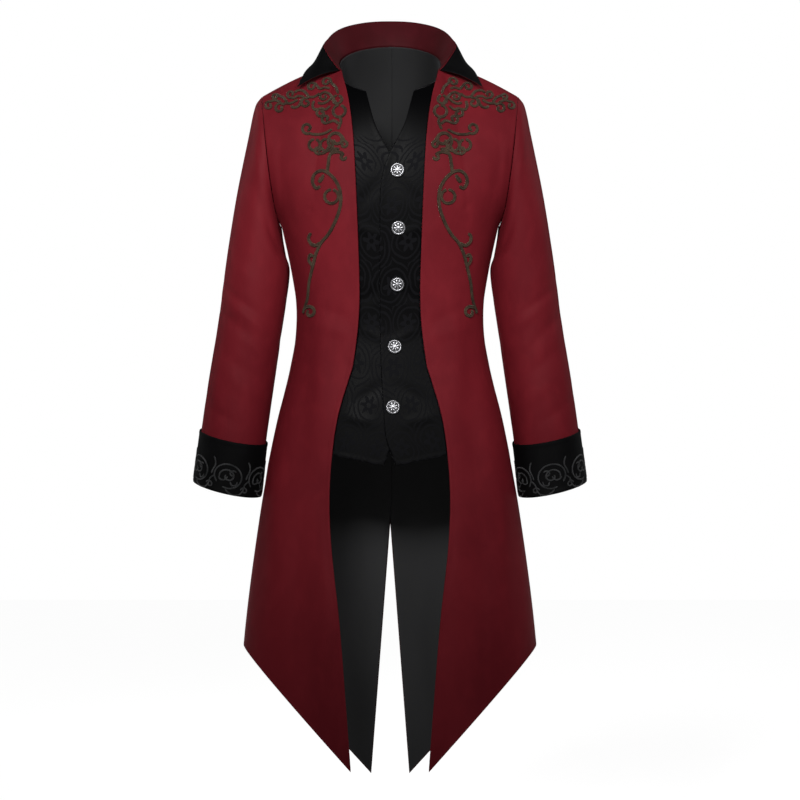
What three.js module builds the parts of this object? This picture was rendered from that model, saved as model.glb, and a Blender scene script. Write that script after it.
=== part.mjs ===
// Frock coat, worn and hollow: red coat cloth, black waistcoat fronts, cuffs and collar wings.
// Millimetres, +Z up. The front faces -Y and the wearer's left side is +X.
// Origin: on the line where the coat rests on the shoulders, midway between the two neck points.
import * as THREE from 'three';

const { lerp, clamp } = THREE.MathUtils;

// Walls and gaps
const COAT_WALL = 2.0;        // coat cloth with its interlining
const THIN_WALL = 1.2;        // waistcoat fronts and lining
const COLLAR_WALL = 2.4;
const SEAM_GAP = 0.3;         // left between two pieces sewn edge to edge
const MITRE = 2.2;            // how far a seam's inner edge leans back behind its outer edge

// Levels down the body
const WAIST_Z = -419;
const CHEST_BASE_Z = -300;    // above it the cloth starts to turn towards the armhole and shoulder
const SIDE_HEM_Z = -955;      // corner at the side where the pointed hem starts
const SIDE_HEM_X = 241;
const HEM_SLOPE = 1;          // drop for each millimetre towards the middle
const VENT_TOP_Z = -760;
const VENT_SPREAD = 0.076;    // how far each tail swings out for each millimetre below the vent's top

// Shoulder, neck and armhole
const NECK = { x: 86, z: 5, frontY: -66, frontDrop: 40, backY: 72, backRise: 37 };
const SHOULDER = { x: 211, y: 5, z: -51, crown: 5 };
const UNDERARM = { x: 178, z: -265 };
const ARMHOLE_DEPTH = 62;     // from the armhole's middle to its front or back
const UNDERARM_SHARE = 0.12;  // share of the upper side edge that is still side seam
const NECK_SHARE = 0.47;      // share of a panel's top edge that is neckline, the rest is shoulder seam
const ARMHOLE_STEPS = 8;      // rows of a panel, or spans of the sleeve, along half of the armhole
const SHOULDER_STEPS = 7;     // columns of a panel that end on the shoulder seam

// Horizontal sections: half width at the side seams, depth in front of and behind them
const ROUNDNESS = 2.4;        // superellipse exponent, 2 is an ellipse
const TORSO = [
  { z: -1170, half: 252, front: 136, back: 158 },
  { z: -955, half: 241, front: 130, back: 150 },
  { z: -741, half: 214, front: 120, back: 138 },
  { z: -592, half: 186, front: 112, back: 124 },
  { z: -493, half: 163, front: 102, back: 104 },
  { z: -419, half: 152, front: 98, back: 92 },
  { z: -345, half: 161, front: 108, back: 104 },
  { z: -265, half: 178, front: 118, back: 119 },
];

// The middle line of the front and of the back, from the chest's base (0) to the neckline (1)
const MIDLINE = [
  { rise: 0.0, frontY: -114.0, frontZ: -300, backY: 112.5, backZ: -300 },
  { rise: 0.2, frontY: -119.0, frontZ: -243, backY: 120.0, backZ: -236 },
  { rise: 0.4, frontY: -118.5, frontZ: -184, backY: 123.0, backZ: -170 },
  { rise: 0.6, frontY: -111.0, frontZ: -127, backY: 120.0, backZ: -104 },
  { rise: 0.8, frontY: -94.0, frontZ: -77, backY: 104.0, backZ: -38 },
  { rise: 1.0, frontY: -66.0, frontZ: -35, backY: 72.0, backZ: 42 },
];

// Where each coat front's edge runs, measured from the middle
const FRONT_EDGE = [
  { z: -1145, x: 63 },
  { z: -1046, x: 70.5 },
  { z: -914, x: 81 },
  { z: -782, x: 95 },
  { z: -700, x: 97.5 },
  { z: -617, x: 91 },
  { z: -568, x: 82 },
  { z: -518, x: 67 },
  { z: -470, x: 52 },
  { z: -432, x: 47.5 },
  { z: -345, x: 49.5 },
  { z: -221, x: 54 },
  { z: -122, x: 59 },
  { z: -56, x: 68 },
  { z: -20, x: 77 },
  { z: 5, x: 82 },
];

// The waistcoat front's edge: overlap below, then the V neck up to the neck band's corner
const VEST_EDGE = [
  { z: -662, x: 11 },
  { z: -640, x: 3 },
  { z: -615, x: -6 },
  { z: -560, x: -11 },
  { z: -450, x: -16 },
  { z: -200, x: -16 },
  { z: -165, x: -13 },
  { z: -142, x: 1 },
  { z: -122, x: 18 },
  { z: -89, x: 28 },
  { z: -56, x: 36 },
  { z: -30, x: 43 },
];

// Sleeve rings, from the armhole down: the outermost and innermost points and half the depth
const SLEEVE = [
  { station: 0.0, outerX: 211.7, outerZ: -50.7, innerX: 178.8, innerZ: -264.6, depth: 62 },
  { station: 0.1, outerX: 222, outerZ: -66, innerX: 177.9, innerZ: -272, depth: 63 },
  { station: 0.3, outerX: 233, outerZ: -116, innerX: 176.2, innerZ: -287, depth: 63.5 },
  { station: 0.6, outerX: 253, outerZ: -215, innerX: 171.6, innerZ: -313, depth: 62 },
  { station: 1.0, outerX: 270, outerZ: -323, innerX: 165.5, innerZ: -345, depth: 59 },
  { station: 1.5, outerX: 283.5, outerZ: -424, innerX: 179.5, innerZ: -446, depth: 56 },
  { station: 2.0, outerX: 300, outerZ: -524, innerX: 194, innerZ: -546, depth: 53 },
  { station: 2.4, outerX: 311, outerZ: -600, innerX: 204.5, innerZ: -621, depth: 51 },
  { station: 2.85, outerX: 322, outerZ: -684, innerX: 214.5, innerZ: -708, depth: 50.5 },
];
const CUFF_TOP = 2.4;         // stations on the sleeve
const CUFF_BOTTOM = 2.87;
const CUFF_GAP = 0.9;         // between the sleeve and the cuff turned back over it
const CUFF_DIP = 9;           // how much lower a rim is in front than at its sides

// The collar's stand: its height over the neck seam and how far it leans out, from back to front
const COLLAR = [
  { round: 0.0, rise: 43, lean: 15 },
  { round: 0.25, rise: 43.5, lean: 16 },
  { round: 0.5, rise: 42, lean: 18 },
  { round: 0.7, rise: 36, lean: 20 },
  { round: 0.8, rise: 30, lean: 24 },
  { round: 0.9, rise: 16, lean: 15 },
  { round: 0.95, rise: 8, lean: 9 },
  { round: 1.0, rise: 3.5, lean: 5 },
];
const COLLAR_FRONT_TURN = 22; // degrees past the neck point where the stand ends in front
const COLLAR_SEAT = 0.6;      // gap over the panels' top edges

// The outer edge of the collar wing on the wearer's left, from its start to its tip
const WING_EDGE = [
  { along: 0.0, x: 108, y: 16, z: 41 },
  { along: 0.25, x: 117, y: 9, z: 18 },
  { along: 0.5, x: 128, y: -2, z: 3 },
  { along: 0.75, x: 140, y: -18, z: -10 },
  { along: 1.0, x: 152, y: -44, z: -38 },
];
const WING_START = 0.66;      // along the collar, where the turned-out wing begins
const WING_CLEARANCE = 2.4;   // over the stand's top edge
const WING_CROWN = 6;         // how far the wing stands off flat at its middle

// The braid's main runs on the wearer's left front, as seen from the front
const BRAID_RUNS = {
  stem: [
    { x: 134, z: -392 },
    { x: 130, z: -355 },
    { x: 121, z: -318 },
    { x: 108, z: -290 },
    { x: 90, z: -263 },
    { x: 80, z: -232 },
    { x: 86, z: -202 },
    { x: 101, z: -180 },
    { x: 99, z: -158 },
  ],
  edge: [
    { x: 88, z: -128 },
    { x: 84, z: -104 },
    { x: 85, z: -80 },
    { x: 92, z: -60 },
    { x: 104, z: -50 },
  ],
  shoulder: [
    { x: 126, z: -122 },
    { x: 122, z: -96 },
    { x: 130, z: -74 },
    { x: 152, z: -64 },
    { x: 176, z: -72 },
  ],
};
const BRAID_WIDTH = 7;
const BRAID_WALL = 2.2;
const BRAID_LIFT = 3.8;       // its outer face over the front's form
const BRAID_STEP = 13;        // length of one span

// Buttons, from the top, as seen from the front, and a button's outline
const BUTTONS = [
  { x: 12, z: -179 },
  { x: 14, z: -273 },
  { x: 12, z: -364 },
  { x: 8, z: -464 },
  { x: 5, z: -562 },
];
const BUTTON_SEAT = 1.2;      // its back over the waistcoat's outer face
const BUTTON_PROFILE = [
  { radius: 0, height: 0 },
  { radius: 10.2, height: 0 },
  { radius: 11.5, height: 1.2 },
  { radius: 11.2, height: 2.6 },
  { radius: 9.8, height: 3.4 },
  { radius: 6.5, height: 4.6 },
  { radius: 0, height: 5.4 },
];

// Colours and finishes
function finish(colour, roughness, metalness = 0) {
  return new THREE.MeshStandardMaterial({ color: colour, roughness, metalness, side: THREE.DoubleSide });
}
const COAT_CLOTH = finish('#5e1b24', 0.62);
const BLACK_VELVET = finish('#0a0a0b', 0.8);
const BROCADE = finish('#0e0e10', 0.6);
const LINING = finish('#262526', 0.55);
const BRAID = finish('#3b3423', 0.7);
const BUTTON_METAL = finish('#9a9a9c', 0.38, 0.9);

// A smooth curve through a table's rows, read at any value of its key column
function smooth(table, key, column, at) {
  const last = table.length - 1;
  let i = 0;
  while (i < last - 1 && at > table[i + 1][key]) {
    i += 1;
  }
  const slope = (k) => {
    const before = table[Math.max(k - 1, 0)];
    const after = table[Math.min(k + 1, last)];
    return (after[column] - before[column]) / (after[key] - before[key]);
  };
  const span = table[i + 1][key] - table[i][key];
  const s = clamp((at - table[i][key]) / span, 0, 1);
  const rise = s * s * (3 - 2 * s);
  const start = s * (1 - s) * (1 - s) * span * slope(i);
  const end = s * s * (s - 1) * span * slope(i + 1);
  return lerp(table[i][column], table[i + 1][column], rise) + start + end;
}

// One point of a horizontal section: across runs from the middle (0) to the side seam (1)
function sectionPoint(face, across, z) {
  const angle = across * Math.PI / 2;
  const depth = smooth(TORSO, 'z', face, z);
  const x = smooth(TORSO, 'z', 'half', z) * Math.sin(angle) ** (2 / ROUNDNESS);
  const y = depth * Math.max(Math.cos(angle), 0) ** (2 / ROUNDNESS);
  return new THREE.Vector3(x, face === 'front' ? -y : y, z);
}

// The armhole's front or back half: turn runs from the underarm (0) to the shoulder point (1)
function armholePoint(face, turn) {
  const share = (1 - Math.cos(turn * Math.PI)) / 2;
  const depth = ARMHOLE_DEPTH * Math.sin(turn * Math.PI);
  return new THREE.Vector3(
    lerp(UNDERARM.x, SHOULDER.x, share ** 0.6),
    (face === 'front' ? -depth : depth) + SHOULDER.y * share,
    lerp(UNDERARM.z, SHOULDER.z, share),
  );
}

// The neckline, from the middle (turn 0) to the neck point (turn 1)
function necklinePoint(face, turn) {
  const angle = turn * Math.PI / 2;
  const middleY = face === 'front' ? NECK.frontY : NECK.backY;
  const middleRise = face === 'front' ? -NECK.frontDrop : NECK.backRise;
  return new THREE.Vector3(
    NECK.x * Math.sin(angle),
    middleY * Math.cos(angle),
    NECK.z + middleRise * Math.cos(angle),
  );
}

function shoulderPoint(share) {
  const neck = new THREE.Vector3(NECK.x, 0, NECK.z);
  const tip = new THREE.Vector3(SHOULDER.x, SHOULDER.y, SHOULDER.z);
  const point = neck.lerp(tip, share);
  point.z += SHOULDER.crown * Math.sin(share * Math.PI);
  return point;
}

function topEdgePoint(face, across) {
  if (across < NECK_SHARE) {
    return necklinePoint(face, across / NECK_SHARE);
  }
  return shoulderPoint((across - NECK_SHARE) / (1 - NECK_SHARE));
}

function sideEdgePoint(face, rise) {
  if (rise < UNDERARM_SHARE) {
    return sectionPoint(face, 1, lerp(CHEST_BASE_Z, UNDERARM.z, rise / UNDERARM_SHARE));
  }
  return armholePoint(face, (rise - UNDERARM_SHARE) / (1 - UNDERARM_SHARE));
}

// How far a curve of points stands off the straight line between its ends
function bulge(curve, across) {
  const chord = curve(0).lerp(curve(1), across);
  return curve(across).sub(chord);
}

// Chest, shoulder and shoulder blade: each row runs straight from the middle line to the side
// edge, plus the chest section's bulge, which hands over to the top edge's bulge on the way up
function upperPoint(face, across, rise) {
  const middle = new THREE.Vector3(
    0,
    smooth(MIDLINE, 'rise', `${face}Y`, rise),
    smooth(MIDLINE, 'rise', `${face}Z`, rise),
  );
  const top = rise ** 3 * (4 - 3 * rise);
  const chest = bulge((share) => sectionPoint(face, share, CHEST_BASE_Z), across);
  const shoulder = bulge((share) => topEdgePoint(face, share), across);
  return middle
    .lerp(sideEdgePoint(face, rise), across)
    .addScaledVector(chest, 1 - top)
    .addScaledVector(shoulder, top);
}

const HEM_PASSES = 8;         // rounds in which a skirt row settles on its height
const HALVINGS = 40;          // of an interval in which a crossing is searched

// Any point of the body's form: height is 0 to 1 in the skirt, 1 to 2 at the waist, 2 to 3 above
function formPoint(face, across, height, hem) {
  if (across < 0) {
    const mirrored = formPoint(face, -across, height, hem);
    mirrored.x *= -1;
    return mirrored;
  }
  if (height > 2) {
    return upperPoint(face, across, height - 2);
  }
  if (height > 1) {
    return sectionPoint(face, across, lerp(WAIST_Z, CHEST_BASE_Z, height - 1));
  }
  let point = sectionPoint(face, across, WAIST_Z);
  for (let pass = 0; pass < HEM_PASSES; pass += 1) {
    point = sectionPoint(face, across, lerp(hem(point.x), WAIST_Z, height));
  }
  return point;
}

// The share across at which a row of the form crosses a given edge line
function edgeShare(face, height, hem, edge) {
  let low = -0.4;
  let high = 1;
  for (let pass = 0; pass < HALVINGS; pass += 1) {
    const middle = (low + high) / 2;
    const point = formPoint(face, middle, height, hem);
    if (point.x < edge(point.z)) {
      low = middle;
    } else {
      high = middle;
    }
  }
  return (low + high) / 2;
}

function steps(from, to, count) {
  return Array.from({ length: count }, (_, i) => lerp(from, to, i / count));
}

// Grid of points of a panel on the wearer's left, rows from hem to shoulder. The columns are
// shared out on both sides of the neck point, so that panels meet point to point at the shoulder
function panelGrid({ face, hem, edge, heights, neckColumns, shoulderColumns }) {
  return heights.map((height) => {
    const start = edgeShare(face, height, hem, edge);
    const shares = [
      ...steps(start, NECK_SHARE, neckColumns),
      ...steps(NECK_SHARE, 1, shoulderColumns),
      1,
    ];
    return shares.map((share) => formPoint(face, share, height, hem));
  });
}

// Rows from hem to shoulder, with one at each step of the armhole
function panelHeights(skirtRows, armholeRows) {
  const armhole = steps(2 + UNDERARM_SHARE, 3, armholeRows);
  return [...steps(0, 1, skirtRows), ...steps(1, 2, 2), 2, ...armhole, 3];
}

function mirrorGrid(grid) {
  return grid.map((row) => row.map((p) => new THREE.Vector3(-p.x, p.y, p.z)));
}

// Unit normals of a grid of points; facing 1 is across cross up, -1 the other way
function gridNormals(grid, facing, closed) {
  const lastRow = grid.length - 1;
  const count = grid[0].length;
  return grid.map((row, r) => row.map((_, c) => {
    const up = grid[Math.min(r + 1, lastRow)][c].clone().sub(grid[Math.max(r - 1, 0)][c]);
    const next = closed ? (c + 1) % count : Math.min(c + 1, count - 1);
    const before = closed ? (c - 1 + count) % count : Math.max(c - 1, 0);
    const across = row[next].clone().sub(row[before]);
    return across.cross(up).normalize().multiplyScalar(facing);
  }));
}

function offsetGrid(grid, normals, distance) {
  return grid.map((row, r) => row.map((p, c) => p.clone().addScaledVector(normals[r][c], distance)));
}

// Moves a grid's edges in along its surface, by a distance for each named edge
function trimGrid(grid, trims, extra) {
  const lastRow = grid.length - 1;
  const lastColumn = grid[0].length - 1;
  const moved = grid.map((row) => row.map((p) => p.clone()));
  const pull = (r, c, inR, inC, distance) => {
    const inward = grid[inR][inC].clone().sub(grid[r][c]).normalize();
    moved[r][c].addScaledVector(inward, distance + extra);
  };
  for (let c = 0; c <= lastColumn; c += 1) {
    if (trims.bottom) pull(0, c, 1, c, trims.bottom);
    if (trims.top) pull(lastRow, c, lastRow - 1, c, trims.top);
  }
  for (let r = 0; r <= lastRow; r += 1) {
    if (trims.left) pull(r, 0, r, 1, trims.left);
    if (trims.right) pull(r, lastColumn, r, lastColumn - 1, trims.right);
  }
  return moved;
}

// A closed wall of cloth: its outer face on the grid, or inset from it, and its inner face behind
function clothWall(grid, { thickness, facing, closed = false, inset = 0, trims = {} }) {
  const normals = gridNormals(grid, facing, closed);
  const outer = trimGrid(offsetGrid(grid, normals, -inset), trims, 0);
  const inner = trimGrid(offsetGrid(grid, normals, -inset - thickness), trims, MITRE);
  const rows = grid.length;
  const columns = grid[0].length;
  const positions = [];
  [outer, inner].forEach((skin) => skin.forEach((row) => row.forEach((p) => {
    positions.push(p.x, p.y, p.z);
  })));
  const outside = (r, c) => r * columns + (c % columns);
  const inside = (r, c) => rows * columns + outside(r, c);
  const indices = [];
  const quad = (a, b, c, d) => {
    if (facing > 0) {
      indices.push(a, b, c, a, c, d);
    } else {
      indices.push(a, c, b, a, d, c);
    }
  };
  const spans = closed ? columns : columns - 1;
  for (let r = 0; r < rows - 1; r += 1) {
    for (let c = 0; c < spans; c += 1) {
      quad(outside(r, c), outside(r, c + 1), outside(r + 1, c + 1), outside(r + 1, c));
      quad(inside(r, c), inside(r + 1, c), inside(r + 1, c + 1), inside(r, c + 1));
    }
  }
  const top = rows - 1;
  for (let c = 0; c < spans; c += 1) {
    quad(outside(0, c + 1), outside(0, c), inside(0, c), inside(0, c + 1));
    quad(outside(top, c), outside(top, c + 1), inside(top, c + 1), inside(top, c));
  }
  if (!closed) {
    const end = columns - 1;
    for (let r = 0; r < rows - 1; r += 1) {
      quad(outside(r, 0), outside(r + 1, 0), inside(r + 1, 0), inside(r, 0));
      quad(outside(r + 1, end), outside(r, end), inside(r, end), inside(r + 1, end));
    }
  }
  const geometry = new THREE.BufferGeometry();
  geometry.setAttribute('position', new THREE.Float32BufferAttribute(positions, 3));
  geometry.setIndex(indices);
  geometry.computeVertexNormals();
  return geometry;
}

const coat = new THREE.Group();

function addMesh(name, geometry, material) {
  const mesh = new THREE.Mesh(geometry, material);
  mesh.name = name;
  coat.add(mesh);
  return mesh;
}

// The same wall on both sides of the wearer
function addPair(name, grid, material, wall) {
  addMesh(`${name}_left`, clothWall(grid, wall), material);
  addMesh(`${name}_right`, clothWall(mirrorGrid(grid), { ...wall, facing: -wall.facing }), material);
}

// Fronts and backs: the hem falls to a point at the front edge and at each tail
const coatHem = (x) => SIDE_HEM_Z - HEM_SLOPE * (SIDE_HEM_X - x);
const frontEdge = (z) => smooth(FRONT_EDGE, 'z', 'x', z);
const ventEdge = (z) => VENT_SPREAD * Math.max(VENT_TOP_Z - z, 0);

const seam = SEAM_GAP / 2;
const frontGrid = panelGrid({
  face: 'front',
  hem: coatHem,
  edge: frontEdge,
  heights: panelHeights(7, ARMHOLE_STEPS),
  neckColumns: 3,
  shoulderColumns: SHOULDER_STEPS,
});
addPair('front', frontGrid, COAT_CLOTH, {
  thickness: COAT_WALL, facing: 1, trims: { right: seam, top: seam },
});

const backGrid = panelGrid({
  face: 'back',
  hem: coatHem,
  edge: ventEdge,
  heights: panelHeights(7, ARMHOLE_STEPS),
  neckColumns: 5,
  shoulderColumns: SHOULDER_STEPS,
});
addPair('back', backGrid, COAT_CLOTH, {
  thickness: COAT_WALL, facing: -1, trims: { left: seam, right: seam, top: seam },
});

// The back's lining, which shows in the neck and between the fronts below the waistcoat
const LINING_HEM = 4;         // how far it stops short of the hem
const LINING_INLAY = 5;       // and of the side and shoulder seams
addPair('lining', backGrid, LINING, {
  thickness: THIN_WALL,
  facing: -1,
  inset: COAT_WALL + SEAM_GAP,
  trims: { bottom: LINING_HEM, left: 2 * seam, right: LINING_INLAY, top: LINING_INLAY },
});

// Waistcoat fronts, sewn into the side and shoulder seams behind the coat's fronts. The wearer's
// left one laps over the right one
const VEST_HEM = { z: -640, turnX: 95, pointDrop: 20, sideRise: 9 };
const vestHem = (x) => {
  const fromTurn = x / VEST_HEM.turnX - 1;
  const drop = VEST_HEM.pointDrop * clamp(-fromTurn, 0, 1);
  return VEST_HEM.z - drop + VEST_HEM.sideRise * clamp(fromTurn, 0, 1);
};
const vestGrid = panelGrid({
  face: 'front',
  hem: vestHem,
  edge: (z) => smooth(VEST_EDGE, 'z', 'x', z),
  heights: panelHeights(4, ARMHOLE_STEPS),
  neckColumns: 4,
  shoulderColumns: 5,
});
const VEST_INSET = COAT_WALL + 2.6;   // from the coat's face to the waistcoat's
const VEST_LAP = 0.8;         // between the two waistcoat fronts where they lap
const VEST_INLAY = 8;         // how far its side and shoulder edges stop short of the coat's
const vestTrims = { right: VEST_INLAY, top: VEST_INLAY };
const vestLeft = { thickness: THIN_WALL, facing: 1, inset: VEST_INSET, trims: vestTrims };
const vestRight = { ...vestLeft, facing: -1, inset: VEST_INSET + THIN_WALL + VEST_LAP };
addMesh('vest_left', clothWall(vestGrid, vestLeft), BROCADE);
addMesh('vest_right', clothWall(mirrorGrid(vestGrid), vestRight), BROCADE);

// Sleeves: rings between an outermost and an innermost point, from the armhole to the wrist
function sleevePoint(station, turn, swell, dip) {
  const at = (column) => smooth(SLEEVE, 'station', column, station);
  const outer = new THREE.Vector3(at('outerX'), 0, at('outerZ'));
  const inner = new THREE.Vector3(at('innerX'), 0, at('innerZ'));
  const half = outer.clone().sub(inner).multiplyScalar(0.5);
  const middle = inner.clone().add(half);
  half.setLength(half.length() + swell);
  const angle = turn * 2 * Math.PI;
  const point = middle.addScaledVector(half, Math.cos(angle));
  point.y = -(at('depth') + swell) * Math.sin(angle);
  point.z -= dip * Math.sin(angle);
  const capShare = Math.max(1 - station, 0) ** 2;
  const share = (1 + Math.cos(angle)) / 2;
  point.x += (SHOULDER.x - UNDERARM.x) * (share ** 0.6 - share) * capShare;
  point.y += SHOULDER.y * share * capShare;
  return point;
}

function sleeveGrid(stations, around, swell, dip) {
  return stations.map((station) => Array.from({ length: around }, (_, c) => (
    sleevePoint(station, c / around, swell, dip)
  )));
}

const CUFF_MIDDLE = 2.63;
const SLEEVE_END = 2.85;      // just inside the cuff's lower rim
const SLEEVE_SPANS = 2 * ARMHOLE_STEPS;
const sleeveStations = [0, 0.1, 0.3, 0.6, 1, 1.35, 1.7, 2.05, CUFF_TOP, CUFF_MIDDLE, SLEEVE_END];
addPair('sleeve', sleeveGrid(sleeveStations, SLEEVE_SPANS, 0, 0), COAT_CLOTH, {
  thickness: COAT_WALL, facing: 1, closed: true, trims: { bottom: seam },
});

// Cuffs turned back over the sleeves' ends
const cuffStations = [CUFF_TOP, CUFF_MIDDLE, CUFF_BOTTOM];
const cuffGrid = sleeveGrid(cuffStations, SLEEVE_SPANS, CUFF_GAP + COAT_WALL, CUFF_DIP);
addPair('cuff', cuffGrid, BLACK_VELVET, { thickness: COAT_WALL, facing: 1, closed: true });

const COLLAR_LEAN_POWER = 1.3;  // above 1 the stand leans out more towards its top edge

// The collar stands on the neckline, from the front end on one side round the back to the other.
// round is 0 at the back and 1 at a front end
function neckSeamPoint(round) {
  const angle = round * (90 + COLLAR_FRONT_TURN);
  return angle <= 90 ? necklinePoint('back', angle / 90) : necklinePoint('front', (180 - angle) / 90);
}

function collarPoint(round, height) {
  const base = neckSeamPoint(round);
  const ahead = neckSeamPoint(Math.min(round + 0.01, 1)).sub(neckSeamPoint(Math.max(round - 0.01, 0)));
  const outward = new THREE.Vector3(-ahead.y, ahead.x, 0).normalize();
  const lean = smooth(COLLAR, 'round', 'lean', round) * height ** COLLAR_LEAN_POWER;
  base.addScaledVector(outward, lean);
  base.z += COLLAR_SEAT + smooth(COLLAR, 'round', 'rise', round) * height;
  return base;
}

const collarRounds = [0, 0.125, 0.25, 0.375, 0.5, 0.6, 0.7, 0.78, 0.86, 0.93, 1];
const collarColumns = [...collarRounds.slice(1).reverse().map((round) => -round), ...collarRounds];
const collarGrid = [0, 0.33, 0.67, 1].map((height) => collarColumns.map((round) => {
  const point = collarPoint(Math.abs(round), height);
  point.x *= Math.sign(round);
  return point;
}));
addMesh('collar', clothWall(collarGrid, { thickness: COLLAR_WALL, facing: -1 }), COAT_CLOTH);

// Collar wings: the stand's front ends turned outwards, down to a tip on the shoulder
const wingGrid = [0, 0.25, 0.5, 0.75, 1].map((fall) => (
  Array.from({ length: 8 }, (_, c) => wingPoint(c / 7, fall))
));
addPair('collar_wing', wingGrid, BLACK_VELVET, { thickness: THIN_WALL, facing: 1 });

function wingPoint(along, fall) {
  const roll = collarPoint(lerp(WING_START, 1, along), 1);
  roll.z += WING_CLEARANCE;
  const at = (column) => smooth(WING_EDGE, 'along', column, along);
  const edge = new THREE.Vector3(at('x'), at('y'), at('z'));
  roll.addScaledVector(edge.clone().sub(roll).normalize(), WING_CLEARANCE);
  const point = roll.lerp(edge, fall);
  const crown = WING_CROWN * Math.sin(fall * Math.PI);
  point.y -= crown * Math.SQRT1_2;
  point.z += crown * Math.SQRT1_2;
  return point;
}

// The point of the coat front's form, on the wearer's left, that shows at a given x and z
function frontPointAt(x, z) {
  const shareAt = (height) => edgeShare('front', height, coatHem, () => x);
  let low = 0;
  let high = 3;
  for (let pass = 0; pass < HALVINGS; pass += 1) {
    const middle = (low + high) / 2;
    if (formPoint('front', shareAt(middle), middle, coatHem).z < z) {
      low = middle;
    } else {
      high = middle;
    }
  }
  return { share: shareAt(low), height: low };
}

function frontFrameAt(x, z) {
  const { share, height } = frontPointAt(x, z);
  const at = (ds, dh) => formPoint('front', share + ds, Math.min(height + dh, 3), coatHem);
  const across = at(0.004, 0).sub(at(-0.004, 0));
  const up = at(0, 0.01).sub(at(0, -0.01));
  return { point: at(0, 0), normal: across.cross(up).normalize() };
}

// Braid: flat cord laid on each front in scrolls, its main runs only
Object.entries(BRAID_RUNS).forEach(([name, places]) => {
  const flat = new THREE.CatmullRomCurve3(places.map(({ x, z }) => new THREE.Vector3(x, 0, z)));
  const spots = flat.getSpacedPoints(Math.round(flat.getLength() / BRAID_STEP));
  const frames = spots.map((spot, i) => {
    const { point, normal } = frontFrameAt(spot.x, spot.z);
    const ahead = spots[Math.min(i + 1, spots.length - 1)].clone().sub(spots[Math.max(i - 1, 0)]);
    return { point, normal, across: normal.clone().cross(ahead).normalize() };
  });
  const grid = [-0.5, 0.5].map((side) => frames.map(({ point, normal, across }) => (
    point.clone().addScaledVector(normal, BRAID_LIFT).addScaledVector(across, side * BRAID_WIDTH)
  )));
  addPair(`braid_${name}`, grid, BRAID, { thickness: BRAID_WALL, facing: 1 });
});

// Buttons: domed, with a raised rim and boss, down the wearer's-left waistcoat front
const buttonOutline = BUTTON_PROFILE.map(({ radius, height }) => new THREE.Vector2(radius, height));
BUTTONS.forEach(({ x, z }, i) => {
  const { point, normal } = frontFrameAt(x, z);
  const button = addMesh(`button_${i + 1}`, new THREE.LatheGeometry(buttonOutline, 16), BUTTON_METAL);
  button.position.copy(point).addScaledVector(normal, BUTTON_SEAT - VEST_INSET);
  button.quaternion.setFromUnitVectors(new THREE.Vector3(0, 1, 0), normal);
});

export default coat;
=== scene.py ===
import math

import bpy
import numpy as np
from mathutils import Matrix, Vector


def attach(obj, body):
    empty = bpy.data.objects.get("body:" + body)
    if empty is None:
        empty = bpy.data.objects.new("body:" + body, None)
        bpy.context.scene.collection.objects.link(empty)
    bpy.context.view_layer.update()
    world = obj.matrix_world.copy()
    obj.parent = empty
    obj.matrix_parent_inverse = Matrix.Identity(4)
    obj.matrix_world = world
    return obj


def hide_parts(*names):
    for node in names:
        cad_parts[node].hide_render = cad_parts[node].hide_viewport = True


# Frock coat, worn and hollow, seen from the front. Sizes are in millimetres, as a cutter takes them,
# and points are turned into metres where a mesh is made.
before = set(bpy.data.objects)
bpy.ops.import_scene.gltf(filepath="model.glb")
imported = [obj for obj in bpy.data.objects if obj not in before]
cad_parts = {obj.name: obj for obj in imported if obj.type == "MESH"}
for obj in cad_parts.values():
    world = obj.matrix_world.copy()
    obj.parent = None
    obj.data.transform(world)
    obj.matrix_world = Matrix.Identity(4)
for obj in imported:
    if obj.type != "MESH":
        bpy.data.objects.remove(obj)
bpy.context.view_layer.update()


# --- Coat fronts -------------------------------------------------------------------------------
# Two panels of deep red velveteen, cut from the neckline to a pointed hem and filled out as on a
# wearer. Each is a thin turned-edge shell, creased a little where the body and the pockets pull it.

WAIST_Z = -419
CHEST_BASE_Z = -300
SIDE_HEM_Z = -955
SIDE_HEM_X = 241
HEM_SLOPE = 1.1
NECK = {"x": 86, "z": 5, "front_y": -66, "front_rise": -40, "back_y": 72, "back_rise": 37}
SHOULDER = {"x": 211, "y": 5, "z": -51, "crown": 5}
UNDERARM = {"x": 178, "z": -265}
ARMHOLE_DEPTH = 62
UNDERARM_SHARE = 0.12
NECK_SHARE = 0.47
ROUNDNESS = 2.4
COAT_WALL = 2.0
EASING_ROUNDS = 40  # for a hundred rows
EASED_FROM = 0.9  # heights, as form() counts them, between which the easing acts and fades
EASED_FADE = 2.4
EASED_TO = 2.9
SIDE_HOLD = 0.16  # share of the columns, next to the side seam, over which it fades
TURNED_ROUND = 0.55  # of the cloth's thickness, the distance in which an edge rounds off
ROLL_AT = 3.2  # distance of a turned edge's soft ridge from the edge, and its spread
ROLL_SPREAD = 2.4

TORSO = {
    "z": [-1170, -955, -741, -592, -493, -419, -345, -265],
    "half": [252, 241, 214, 186, 163, 152, 161, 178],
    "front": [136, 130, 120, 112, 102, 98, 108, 118],
    "back": [158, 150, 138, 124, 104, 92, 104, 119],
}
MIDLINE = {
    "rise": [0.0, 0.2, 0.4, 0.6, 0.8, 1.0],
    "front_y": [-114.0, -119.0, -118.5, -111.0, -94.0, -66.0],
    "front_z": [-300, -243, -184, -127, -77, -35],
    "back_y": [112.5, 120.0, 123.0, 120.0, 104.0, 72.0],
    "back_z": [-300, -236, -170, -104, -38, 42],
}
FRONT_EDGE = {
    "z": [-1145, -1046, -914, -782, -700, -617, -568, -518, -470, -432, -345, -221, -122, -56, -20, 5],
    "x": [63, 70.5, 81, 95, 97.5, 91, 82, 67, 52, 47.5, 49.5, 54, 59, 68, 77, 82],
}


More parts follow.
